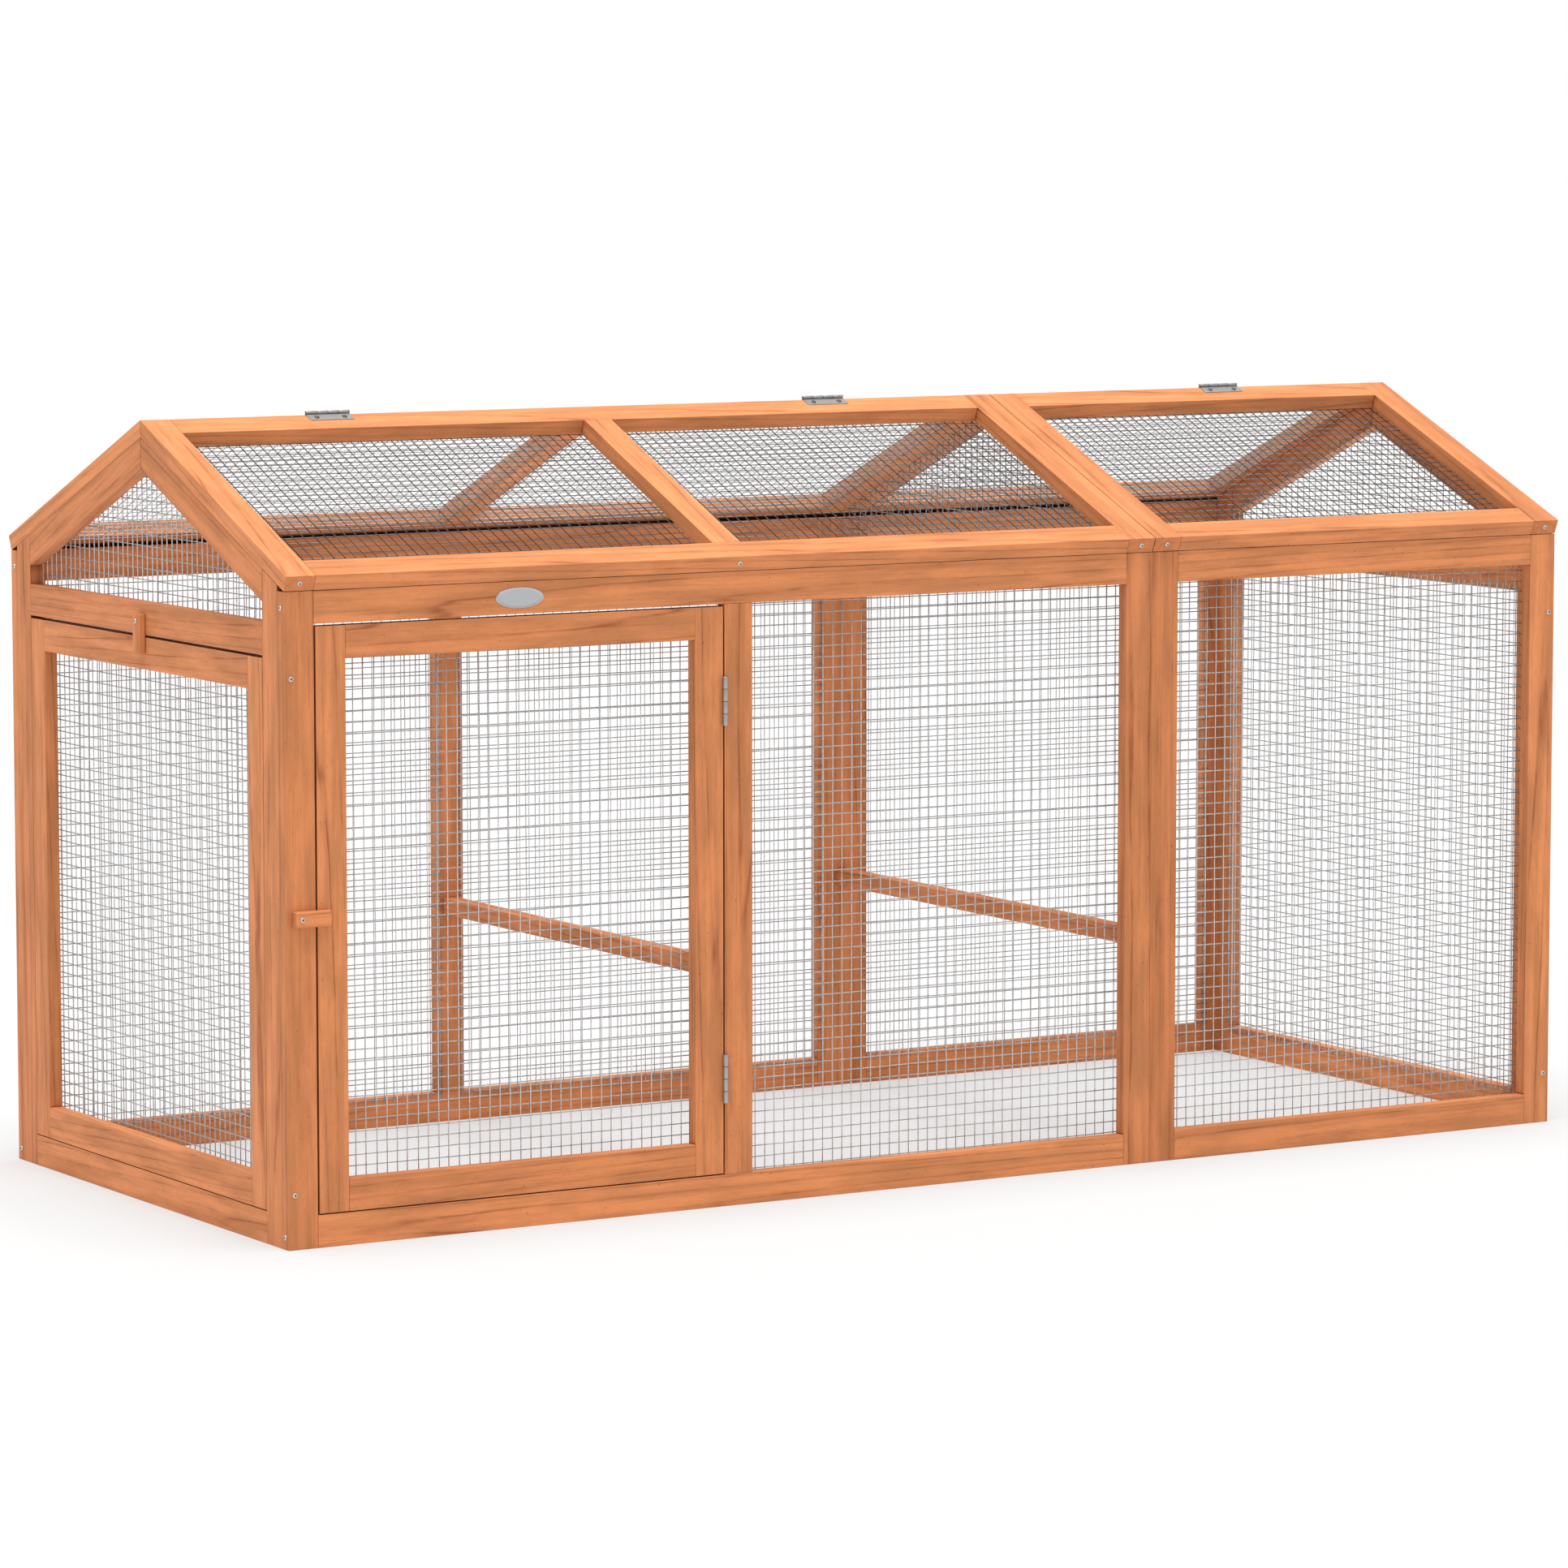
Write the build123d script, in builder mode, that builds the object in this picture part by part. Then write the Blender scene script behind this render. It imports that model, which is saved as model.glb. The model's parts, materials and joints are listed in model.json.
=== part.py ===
from build123d import *
from math import ceil, cos, radians, sin, sqrt, tan
import os

os.makedirs("parts", exist_ok=True)

# Whole run, in mm. X runs along the length, the front faces -Y, Z is up, and the origin is on the
# ground under the middle.
long_module = 1250.0
short_module = 650.0
depth = 785.0
wall_height = 797.0
roof_pitch = 22.8

# Timber
board_width = 40.0
board_thick = 18.0
roof_thick = 20.0
perch_size = 22.0
perch_height = 283.0
doorway_width = 570.0

# Gaps around what opens
door_latch_gap = 2.5
door_hinge_gap = 2.2
door_top_gap = 3.0
door_bottom_gap = 1.5
panel_side_gap = 1.0
panel_top_gap = 3.4
panel_bottom_gap = 1.0
roof_seat_gap = 0.3
ridge_gap = 0.6
apex_gap = 0.6
seam_gap = 1.0

# Wire mesh, drawn with a wide step
wire = 1.2
net_step = 42.75
net_lap = 8.0
smallest_hole = 40.0

# Hinges
hinge_length = 62.0
knuckles = 4
knuckle_gap = 0.2
door_barrel_radius = 3.2
ridge_barrel_radius = 2.2
barrel_clear = 0.3
door_pin_radius = 1.5
ridge_pin_radius = 1.0
pin_clear = 0.05
leaf_thick = 1.0
leaf_width = 18.0
leaf_setback = 0.5
leaf_screw_spread = 19.5
leaf_screw_row = 11.0
door_hinge_heights = (162.0, 636.0)
ridge_hinges_a = (260.0, 990.0)
ridge_hinges_b = (372.0,)

# Turn-buttons
button_length = 50.0
button_width = 20.5
button_thick = 9.0
button_pivot_inset = 9.5
button_ease = 1.0
button_gap = 0.3
door_button_inset = 17.5
door_button_height = 402.0
end_button_height = 734.0

# Screws
shank_radius = 1.75
shank_clear = 0.1
head_radius = 3.2
head_height = 1.4
head_crown = 2.0
frame_screw_length = 60.0
corner_screw_length = 40.0
leaf_screw_length = 15.0
pivot_screw_length = 16.0
corner_screw_heights = (67.0, 692.0)
foot_screw_height = 15.0

# Oval plate
plate_length = 67.0
plate_width = 26.0
plate_thick = 1.0
plate_from_left = 321.0

# Places that follow from the sizes above
left = -(long_module + short_module) / 2
seam = left + long_module
right = seam + short_module
post_left = left + board_width + doorway_width
post_right = post_left + board_width
post_middle = (post_left + post_right) / 2
half_depth = depth / 2
inside = half_depth - board_thick
stile_edge = inside - board_width
rail_low = wall_height - board_width
mid_rail_low = rail_low - board_width
rise = sin(radians(roof_pitch))
run = cos(radians(roof_pitch))
roof_length = (half_depth + roof_thick * rise) / run
ridge_top = wall_height + roof_seat_gap + roof_length * rise + roof_thick * run
ridge_pin_height = ridge_barrel_radius + barrel_clear
ridge_pin_z = ridge_top + ridge_pin_height / run
door_pin_x = post_left - door_hinge_gap / 2
door_pin_y = -half_depth - sqrt((door_barrel_radius + barrel_clear) ** 2 - (door_hinge_gap / 2) ** 2)
door_barrel = (door_hinge_gap / 2, door_barrel_radius, door_pin_radius)
ridge_barrel = (ridge_pin_height, ridge_barrel_radius, ridge_pin_radius)
from_below = (Align.CENTER, Align.CENTER, Align.MIN)
from_above = (Align.CENTER, Align.CENTER, Align.MAX)


def save(piece, name):
    piece.part.label = name
    export_step(piece.part, "parts/" + name + ".step")


def board(x, y, z):
    with Locations(((x[0] + x[1]) / 2, (y[0] + y[1]) / 2, (z[0] + z[1]) / 2)):
        Box(x[1] - x[0], y[1] - y[0], z[1] - z[0])


def profile_board(x, corners):
    with BuildSketch(Plane.YZ.offset(x[0])) as profile:
        with BuildLine():
            Polyline(*corners, close=True)
        make_face()
    extrude(profile.sketch, amount=x[1] - x[0])


def roof_point(side, along, below):
    """Point of a roof panel's profile, by the way down the slope and the depth under its top face."""
    return side * (along * run - below * rise), ridge_top - along * rise - below * run


def gable_height(y):
    return wall_height + (half_depth - abs(y)) * tan(radians(roof_pitch))


def drill(seats, length, radius=shank_radius + shank_clear):
    with Locations(*seats):
        Cylinder(radius, length, align=from_above, mode=Mode.SUBTRACT)


def screws(seats, length):
    with Locations(*seats):
        Cylinder(shank_radius, length, align=from_above)
        Cone(head_radius, head_crown, head_height, align=from_below)


def flush_screws(seats, length):
    with Locations(*seats):
        Cylinder(shank_radius, length, align=from_above)


def net(seat, width, height):
    """Flat mesh on a plane: one sheet with a grid of openings, thickened by one wire."""
    columns = ceil(width / net_step)
    rows = ceil(height / net_step)
    across = (width - wire) / columns
    up = (height - wire) / rows
    with BuildSketch(seat) as sheet:
        Rectangle(width, height)
        with GridLocations(across, up, columns, rows):
            Rectangle(across - wire, up - wire, mode=Mode.SUBTRACT)
    extrude(sheet.sketch, amount=wire)


def gable_net(x, low, half_width, drop):
    """Mesh under the roof slope: openings are clipped to an outline one wire inside the sheet's edge."""
    corners = ((-half_width, low), (half_width, low), (half_width, gable_height(half_width) - drop),
               (0, gable_height(0) - drop), (-half_width, gable_height(half_width) - drop))
    columns = 2 * ceil(half_width / net_step)
    rows = ceil((gable_height(0) - drop - low) / net_step)
    across = 2 * half_width / columns
    with BuildSketch(Plane.YZ) as inset:
        with BuildLine():
            Polyline(*corners, close=True)
        make_face()
        offset(amount=-wire, kind=Kind.INTERSECTION, mode=Mode.REPLACE)
    with BuildSketch(Plane.YZ) as openings:
        with Locations((0, low + rows * net_step / 2)):
            with GridLocations(across, net_step, columns, rows):
                Rectangle(across - wire, net_step - wire)
        add(inset.sketch_local, mode=Mode.INTERSECT)
    with BuildSketch(Plane.YZ.offset(x)) as sheet:
        with BuildLine():
            Polyline(*corners, close=True)
        make_face()
        for opening in openings.sketch_local.faces():
            if opening.area > smallest_hole:
                add(opening, mode=Mode.SUBTRACT)
    extrude(sheet.sketch, amount=wire)


def hinge_leaf(seat, pin_height, barrel_radius, pin_radius):
    """Leaf on a seat plane: x along the pin, y away from the pin, z from the seat up to the pin."""
    start = barrel_radius + leaf_setback
    knuckle = hinge_length / knuckles
    with BuildSketch(seat) as flat:
        with Locations((0, (start + leaf_width) / 2)):
            Rectangle(hinge_length, leaf_width - start)
        with Locations(*leaf_screw_spots()):
            Circle(shank_radius + shank_clear, mode=Mode.SUBTRACT)
    extrude(flat.sketch, amount=leaf_thick)
    for number in range(0, knuckles, 2):
        end = seat.from_local_coords((-hinge_length / 2 + number * knuckle + knuckle_gap / 2, 0, 0))
        with BuildSketch(Plane(end, x_dir=seat.y_dir, z_dir=seat.x_dir)) as curl:
            with Locations((0, pin_height)):
                Circle(barrel_radius)
            with Locations(((start + leaf_setback) / 2, leaf_thick / 2)):
                Rectangle(start + leaf_setback, leaf_thick)
            with Locations((0, pin_height)):
                Circle(pin_radius + pin_clear, mode=Mode.SUBTRACT)
        extrude(curl.sketch, amount=knuckle - knuckle_gap)


def leaf_screw_spots():
    return (-leaf_screw_spread, leaf_screw_row), (leaf_screw_spread, leaf_screw_row)


def leaf_screw_seats(seat, height):
    return [Plane(seat.from_local_coords((x, y, height)), x_dir=seat.x_dir, z_dir=seat.z_dir)
            for x, y in leaf_screw_spots()]


def ridge_seat(side, from_left):
    normal = (0, side * rise, run)
    foot = (left + from_left, -side * ridge_pin_height * rise, ridge_pin_z - ridge_pin_height * run)
    return Plane(foot, x_dir=(side, 0, 0), z_dir=normal)


def door_seat(turn, height):
    foot = (door_pin_x - turn * door_hinge_gap / 2, door_pin_y, height)
    return Plane(foot, x_dir=(0, 0, -turn), z_dir=(turn, 0, 0))


def pin(middle, direction, radius):
    with Locations(Plane(middle, z_dir=direction)):
        Cylinder(radius, hinge_length)


def fascia_seats(side, places):
    y, z = roof_point(side, roof_length, roof_thick / 2)
    return [Plane((x, y, z), x_dir=(1, 0, 0), z_dir=(0, side * run, -rise)) for x in places]


def turn_button(seat):
    with BuildSketch(seat) as outline:
        with Locations((button_length / 2 - button_pivot_inset, 0)):
            Rectangle(button_length, button_width)
        Circle(shank_radius + shank_clear, mode=Mode.SUBTRACT)
    extrude(outline.sketch, amount=button_thick)


# Where the screws go. Every seat plane faces out of the timber.
corner_posts = [(end, side) for end in (-1, 1) for side in (-1, 1)]
corner_screw_x = right - board_thick / 2
corner_seats = [Plane((end * corner_screw_x, side * half_depth, z), x_dir=(1, 0, 0), z_dir=(0, side, 0))
                for end, side in corner_posts for z in corner_screw_heights]
edge_screw_y = half_depth - board_thick / 2
edge_screw_heights = (foot_screw_height, wall_height - board_width / 2)
edge_seats = [Plane((end * right, side * edge_screw_y, z), x_dir=(0, 1, 0), z_dir=(end, 0, 0))
              for end, side in corner_posts for z in edge_screw_heights]
fascia_a = (left + board_width / 2, post_middle, seam - board_width / 2)
fascia_b = (seam + board_width / 2, right - board_width / 2)
door_button_seat = Plane((left + door_button_inset, -half_depth - button_gap, door_button_height),
                         x_dir=(1, 0, 0), z_dir=(0, -1, 0))
end_button_seat = Plane((left - button_gap, 0, end_button_height), x_dir=(0, 0, -1), z_dir=(-1, 0, 0))
button_seats = [seat.offset(button_thick) for seat in (door_button_seat, end_button_seat)]
pivot_reach = button_thick + button_gap + pivot_screw_length
post_leaf_seats = [door_seat(-1, z) for z in door_hinge_heights]
door_leaf_seats = [door_seat(1, z) for z in door_hinge_heights]
ridge_leaves_a = [ridge_seat(-1, x) for x in ridge_hinges_a]
ridge_leaves_b = [ridge_seat(-1, long_module + x) for x in ridge_hinges_b]
rear_leaves_a = [ridge_seat(1, x) for x in ridge_hinges_a]
rear_leaves_b = [ridge_seat(1, long_module + x) for x in ridge_hinges_b]

# Front and back walls of both modules
for wall, side in (("front", -1), ("back", 1)):
    faces = sorted((side * half_depth, side * inside))
    for module, low, high in (("a", left, seam), ("b", seam, right)):
        with BuildPart() as stiles:
            board((low, low + board_width), faces, (0, wall_height))
            board((high - board_width, high), faces, (0, wall_height))
            drill(corner_seats, corner_screw_length)
            drill(edge_seats, frame_screw_length)
            if side < 0:
                drill(button_seats, pivot_reach)
        save(stiles, wall + "_" + module + "_stiles")

        with BuildPart() as rails:
            board((low + board_width, high - board_width), faces, (0, board_width))
            board((low + board_width, high - board_width), faces, (rail_low, wall_height))
            drill(edge_seats, frame_screw_length)
        save(rails, wall + "_" + module + "_rails")

    with BuildPart() as mid_post:
        board((post_left, post_right), faces, (board_width, rail_low))
        if side < 0:
            for seat in post_leaf_seats:
                drill(leaf_screw_seats(seat, 0), leaf_screw_length)
    save(mid_post, wall + "_a_mid_post")

# Mesh of the front and back bays, on the walls' inner faces
bay_middle = (board_width + rail_low) / 2
bay_height = rail_low - board_width + 2 * net_lap
bays = {"front_a": (((post_right, seam - board_width),), -1),
        "front_b": (((seam + board_width, right - board_width),), -1),
        "back_a": (((left + board_width, post_left), (post_right, seam - board_width)), 1),
        "back_b": (((seam + board_width, right - board_width),), 1)}
for bay, (spans, side) in bays.items():
    with BuildPart() as wall_mesh:
        for low, high in spans:
            net(Plane(((low + high) / 2, side * inside, bay_middle), x_dir=(1, 0, 0), z_dir=(0, -side, 0)),
                high - low + 2 * net_lap, bay_height)
    save(wall_mesh, bay + "_mesh")

# End frames, which stand between the front and back walls
for end, side in (("left", -1), ("right", 1)):
    faces = sorted((side * right, side * (right - board_thick)))
    with BuildPart() as end_stiles:
        for y in (-1, 1):
            profile_board(faces, ((y * inside, 0), (y * stile_edge, 0),
                                  (y * stile_edge, gable_height(stile_edge)),
                                  (y * inside, gable_height(inside))))
        drill(corner_seats, corner_screw_length)
    save(end_stiles, end + "_end_stiles")

    with BuildPart() as end_rails:
        board(faces, (-stile_edge, stile_edge), (0, board_width))
        board(faces, (-stile_edge, stile_edge), (mid_rail_low, rail_low))
        if side < 0:
            drill(button_seats, pivot_reach)
    save(end_rails, end + "_end_rails")

    with BuildPart() as gable_rafters:
        for y in (-1, 1):
            profile_board(faces, ((y * apex_gap / 2, gable_height(apex_gap / 2)),
                                  (y * stile_edge, gable_height(stile_edge)),
                                  (y * stile_edge, gable_height(stile_edge) - board_width),
                                  (y * apex_gap / 2, gable_height(apex_gap / 2) - board_width)))
    save(gable_rafters, end + "_gable_rafters")

# Mesh of the gables and the right end
net_inside = right - board_thick
for name, x in (("left_gable_mesh", -net_inside), ("right_gable_mesh", net_inside - wire)):
    with BuildPart() as gable_mesh:
        gable_net(x, rail_low - net_lap, stile_edge + net_lap, board_width - net_lap)
    save(gable_mesh, name)

with BuildPart() as seam_gable_mesh:
    gable_net(seam - wire / 2, rail_low, inside, 0)
save(seam_gable_mesh, "seam_gable_mesh")

with BuildPart() as right_end_mesh:
    net(Plane((net_inside, 0, (board_width + mid_rail_low) / 2), x_dir=(0, 1, 0), z_dir=(-1, 0, 0)),
        2 * (stile_edge + net_lap), mid_rail_low - board_width + 2 * net_lap)
save(right_end_mesh, "right_end_mesh")

# Perches across the run
for name, x in (("perch_a", post_middle), ("perch_b", seam)):
    with BuildPart() as perch:
        board((x - perch_size / 2, x + perch_size / 2), (-inside, inside),
              (perch_height, perch_height + perch_size))
    save(perch, name)

# Door, flush with the front wall
door_x = (left + board_width + door_latch_gap, post_left - door_hinge_gap)
door_z = (board_width + door_bottom_gap, rail_low - door_top_gap)
door_y = (-half_depth, -inside)
door_clear = (door_x[0] + board_width, door_x[1] - board_width)
with BuildPart() as door_stiles:
    board((door_x[0], door_clear[0]), door_y, door_z)
    board((door_clear[1], door_x[1]), door_y, door_z)
    for seat in door_leaf_seats:
        drill(leaf_screw_seats(seat, 0), leaf_screw_length)
save(door_stiles, "door_stiles")

with BuildPart() as door_rails:
    board(door_clear, door_y, (door_z[0], door_z[0] + board_width))
    board(door_clear, door_y, (door_z[1] - board_width, door_z[1]))
save(door_rails, "door_rails")

with BuildPart() as door_mesh:
    door_middle = ((door_x[0] + door_x[1]) / 2, -inside, (door_z[0] + door_z[1]) / 2)
    net(Plane(door_middle, x_dir=(1, 0, 0), z_dir=(0, 1, 0)),
        door_clear[1] - door_clear[0] + 2 * net_lap, door_z[1] - door_z[0] - 2 * (board_width - net_lap))
save(door_mesh, "door_mesh")

# Lift-out panel in the left end
panel_x = (left, left + board_thick)
panel_half = stile_edge - panel_side_gap
panel_z = (board_width + panel_bottom_gap, mid_rail_low - panel_top_gap)
panel_clear = panel_half - board_width
with BuildPart() as end_panel_stiles:
    board(panel_x, (-panel_half, -panel_clear), panel_z)
    board(panel_x, (panel_clear, panel_half), panel_z)
save(end_panel_stiles, "end_panel_stiles")

with BuildPart() as end_panel_rails:
    board(panel_x, (-panel_clear, panel_clear), (panel_z[0], panel_z[0] + board_width))
    board(panel_x, (-panel_clear, panel_clear), (panel_z[1] - board_width, panel_z[1]))
save(end_panel_rails, "end_panel_rails")

with BuildPart() as end_panel_mesh:
    net(Plane((panel_x[1], 0, (panel_z[0] + panel_z[1]) / 2), x_dir=(0, 1, 0), z_dir=(1, 0, 0)),
        2 * (panel_clear + net_lap), panel_z[1] - panel_z[0] - 2 * (board_width - net_lap))
save(end_panel_mesh, "end_panel_mesh")

# Roof panels: rafters run the whole slope, the rails and the centre rafter fit between them
mitre_top = ridge_gap / 2 / run
mitre_low = (ridge_gap / 2 + roof_thick * rise) / run
eave_rail = roof_length - board_width
roof_a = (left, seam - seam_gap / 2)
roof_b = (seam + seam_gap / 2, right)
roof_bays_a = ((left + board_width, post_left), (post_right, roof_a[1] - board_width))
roof_bays_b = ((roof_b[0] + board_width, right - board_width),)
roof_net_middle = (board_width + eave_rail) / 2
roof_net_height = eave_rail - board_width + 2 * net_lap
for slope, side in (("front_roof", -1), ("rear_roof", 1)):
    head = (roof_point(side, mitre_top, 0), roof_point(side, mitre_low, roof_thick))
    ridge_edge = (roof_point(side, board_width, 0), roof_point(side, board_width, roof_thick))
    eave_edge = (roof_point(side, eave_rail, 0), roof_point(side, eave_rail, roof_thick))
    foot = (roof_point(side, roof_length, 0), roof_point(side, roof_length, roof_thick))
    y, z = roof_point(side, roof_net_middle, roof_thick)
    for module, span, fascia, leaves, roof_bays in (
            ("a", roof_a, fascia_a, ridge_leaves_a if side < 0 else rear_leaves_a, roof_bays_a),
            ("b", roof_b, fascia_b, ridge_leaves_b if side < 0 else rear_leaves_b, roof_bays_b)):
        between = (span[0] + board_width, span[1] - board_width)
        with BuildPart() as rafters:
            for low in (span[0], between[1]):
                profile_board((low, low + board_width), (head[0], foot[0], foot[1], head[1]))
            drill(fascia_seats(side, fascia), frame_screw_length)
        save(rafters, slope + "_" + module + "_rafters")

        with BuildPart() as roof_rails:
            profile_board(between, (head[0], ridge_edge[0], ridge_edge[1], head[1]))
            profile_board(between, (eave_edge[0], foot[0], foot[1], eave_edge[1]))
            drill(fascia_seats(side, fascia), frame_screw_length)
            for seat in leaves:
                drill(leaf_screw_seats(seat, 0), leaf_screw_length)
        save(roof_rails, slope + "_" + module + "_rails")

        with BuildPart() as roof_mesh:
            for low, high in roof_bays:
                net(Plane(((low + high) / 2, y, z), x_dir=(1, 0, 0), z_dir=(0, -side * rise, -run)),
                    high - low + 2 * net_lap, roof_net_height)
        save(roof_mesh, slope + "_" + module + "_mesh")

    with BuildPart() as centre_rafter:
        profile_board((post_left, post_right), (ridge_edge[0], eave_edge[0], eave_edge[1], ridge_edge[1]))
        drill(fascia_seats(side, fascia_a), frame_screw_length)
    save(centre_rafter, slope + "_a_centre_rafter")

# Hinges
for name, seats, barrel in (("door_hinge_frame_leaves", post_leaf_seats, door_barrel),
                            ("door_hinge_door_leaves", door_leaf_seats, door_barrel),
                            ("ridge_hinge_front_leaves_a", ridge_leaves_a, ridge_barrel),
                            ("ridge_hinge_front_leaf_b", ridge_leaves_b, ridge_barrel),
                            ("ridge_hinge_rear_leaves", rear_leaves_a + rear_leaves_b, ridge_barrel)):
    with BuildPart() as leaf:
        for seat in seats:
            hinge_leaf(seat, *barrel)
    save(leaf, name)

with BuildPart() as door_hinge_pins:
    for z in door_hinge_heights:
        pin((door_pin_x, door_pin_y, z), (0, 0, 1), door_pin_radius)
save(door_hinge_pins, "door_hinge_pins")

with BuildPart() as ridge_hinge_pins:
    for seat in rear_leaves_a + rear_leaves_b:
        pin((seat.origin.X, 0, ridge_pin_z), (1, 0, 0), ridge_pin_radius)
save(ridge_hinge_pins, "ridge_hinge_pins")

# Turn-buttons that hold the door and the end panel shut
for name, seat in (("door_button", door_button_seat), ("end_button", end_button_seat)):
    with BuildPart() as button:
        turn_button(seat)
        outer_face = button.faces().sort_by(Axis(seat.origin, seat.z_dir))[-1]
        chamfer(outer_face.outer_wire().edges(), button_ease)
    save(button, name)

# Screws
with BuildPart() as frame_screws:
    screws(corner_seats, corner_screw_length)
    screws(edge_seats, frame_screw_length)
    screws(fascia_seats(1, fascia_a + fascia_b), frame_screw_length)
    screws([seat.offset(button_gap) for seat in button_seats], pivot_reach)
    for seat in rear_leaves_a + rear_leaves_b:
        screws(leaf_screw_seats(seat, leaf_thick), leaf_screw_length)
    for seat in post_leaf_seats:
        flush_screws(leaf_screw_seats(seat, leaf_thick), leaf_screw_length)
save(frame_screws, "frame_screws")

with BuildPart() as door_hinge_screws:
    for seat in door_leaf_seats:
        flush_screws(leaf_screw_seats(seat, leaf_thick), leaf_screw_length)
save(door_hinge_screws, "door_hinge_screws")

for name, slope_seats, leaves in (("front_roof_a_screws", fascia_seats(-1, fascia_a), ridge_leaves_a),
                                  ("front_roof_b_screws", fascia_seats(-1, fascia_b), ridge_leaves_b)):
    with BuildPart() as roof_screws:
        screws(slope_seats, frame_screw_length)
        for seat in leaves:
            screws(leaf_screw_seats(seat, leaf_thick), leaf_screw_length)
    save(roof_screws, name)

with BuildPart() as plate:
    with BuildSketch(Plane((left + plate_from_left, -half_depth, wall_height - board_width / 2),
                           x_dir=(1, 0, 0), z_dir=(0, -1, 0))):
        Ellipse(plate_length / 2, plate_width / 2)
    extrude(amount=plate_thick)
save(plate, "oval_plate")
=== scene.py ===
import bpy
import json
import math
import numpy as np
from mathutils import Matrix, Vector


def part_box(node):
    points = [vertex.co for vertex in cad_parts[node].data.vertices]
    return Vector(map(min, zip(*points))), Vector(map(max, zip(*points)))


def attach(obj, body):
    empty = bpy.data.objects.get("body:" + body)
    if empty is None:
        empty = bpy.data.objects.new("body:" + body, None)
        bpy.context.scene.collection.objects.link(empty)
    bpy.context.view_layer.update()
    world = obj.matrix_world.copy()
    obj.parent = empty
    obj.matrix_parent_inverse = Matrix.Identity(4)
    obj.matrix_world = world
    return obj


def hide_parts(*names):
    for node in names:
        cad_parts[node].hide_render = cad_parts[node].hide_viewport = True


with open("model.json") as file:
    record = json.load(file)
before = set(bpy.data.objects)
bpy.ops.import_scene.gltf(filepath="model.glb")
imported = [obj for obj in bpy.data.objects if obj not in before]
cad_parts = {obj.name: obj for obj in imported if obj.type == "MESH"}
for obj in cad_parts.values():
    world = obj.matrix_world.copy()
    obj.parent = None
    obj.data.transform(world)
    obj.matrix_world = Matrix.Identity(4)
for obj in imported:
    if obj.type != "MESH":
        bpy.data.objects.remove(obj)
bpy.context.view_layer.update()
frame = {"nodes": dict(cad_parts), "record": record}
scene = bpy.context.scene
nodeBody = {node: body for body, nodes in frame["record"]["behaviour"]["bodies"].items() for node in nodes}
print("stage: frame loaded,", len(nodeBody), "nodes")


# reading the frame's solids

def solidsOf(node):
    # corners and triangles of each separate solid in a node: labels spread over shared corners until they settle
    mesh = frame["nodes"][node].data
    mesh.calc_loop_triangles()
    co = np.empty(len(mesh.vertices) * 3)
    mesh.vertices.foreach_get("co", co)
    tri = np.empty(len(mesh.loop_triangles) * 3, int)
    mesh.loop_triangles.foreach_get("vertices", tri)
    _, first, same = np.unique(np.round(co.reshape(-1, 3), 6), axis=0, return_index=True, return_inverse=True)
    points = co.reshape(-1, 3)[first]
    tri = same.ravel()[tri].reshape(-1, 3)
    label = np.arange(len(points))
    while True:
        fresh = label.copy()
        np.minimum.at(fresh, tri.ravel(), np.repeat(label[tri].min(1), 3))
        fresh = fresh[fresh]
        if (fresh == label).all():
            break
        label = fresh
    return [(points, tri[label[tri[:, 0]] == k]) for k in np.unique(label[tri[:, 0]])]


def solidAxes(points, tri):
    # thickness is square to the largest faces, width to the next largest, and length is across both
    a, b, c = points[tri].transpose(1, 0, 2)
    normal = np.cross(b - a, c - a)
    lead = np.take_along_axis(normal, np.abs(normal).argmax(1)[:, None], 1)
    normal = normal * np.sign(lead)
    area = np.maximum(np.linalg.norm(normal, axis=1), 1e-15)
    kinds, which = np.unique(np.round(normal / area[:, None], 2), axis=0, return_inverse=True)
    total = np.stack([np.bincount(which.ravel(), normal[:, k], len(kinds)) for k in range(3)], 1)
    size = np.linalg.norm(total, axis=1)
    thick = total[size.argmax()] / size.max()
    square = np.abs(total @ thick) < 0.02 * size
    wide = total[square][size[square].argmax()]
    wide = wide - (wide @ thick) * thick
    wide = wide / np.linalg.norm(wide)
    return np.stack([np.cross(wide, thick), wide, thick])


def makePiece(name, verts, faces, material, body, replaced, attributes=None, smooth=False):
    # worked-out corners, faces and point attributes become a mesh that rides a body and stands for a node
    mesh = bpy.data.meshes.new(name)
    mesh.from_pydata(np.asarray(verts).tolist(), [], faces)
    for key, values in (attributes or {}).items():
        kind, prop = ("FLOAT_VECTOR", "vector") if values.shape[1] == 3 else ("FLOAT_COLOR", "color")
        mesh.attributes.new(key, kind, "POINT").data.foreach_set(prop, np.asarray(values, np.float32).ravel())
    mesh.polygons.foreach_set("use_smooth", np.full(len(mesh.polygons), smooth))
    mesh.materials.append(material)
    mesh.update()
    piece = bpy.data.objects.new(name, mesh)
    scene.collection.objects.link(piece)
    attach(piece, body)
    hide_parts(replaced)
    return piece


def pieceName(node, ending):
    # front_a_rails with the ending Boards is frontARailsBoards
    first, *rest = node.split("_")
    return first + "".join(word.capitalize() for word in rest) + ending


# shader helpers

def addNode(tree, kind, inputs=None, **settings):
    # a socket among the inputs is linked, and any other value is set
    node = tree.nodes.new(kind)
    for key, value in settings.items():
        setattr(node, key, value)
    for key, value in (inputs or {}).items():
        if isinstance(value, bpy.types.NodeSocket):
            tree.links.new(value, node.inputs[key])
        else:
            node.inputs[key].default_value = value
    return node


def calc(tree, operation, a, b=0.0):
    # one operation on a and b
    return addNode(tree, "ShaderNodeMath", {0: a, 1: b}, operation=operation).outputs[0]


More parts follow.
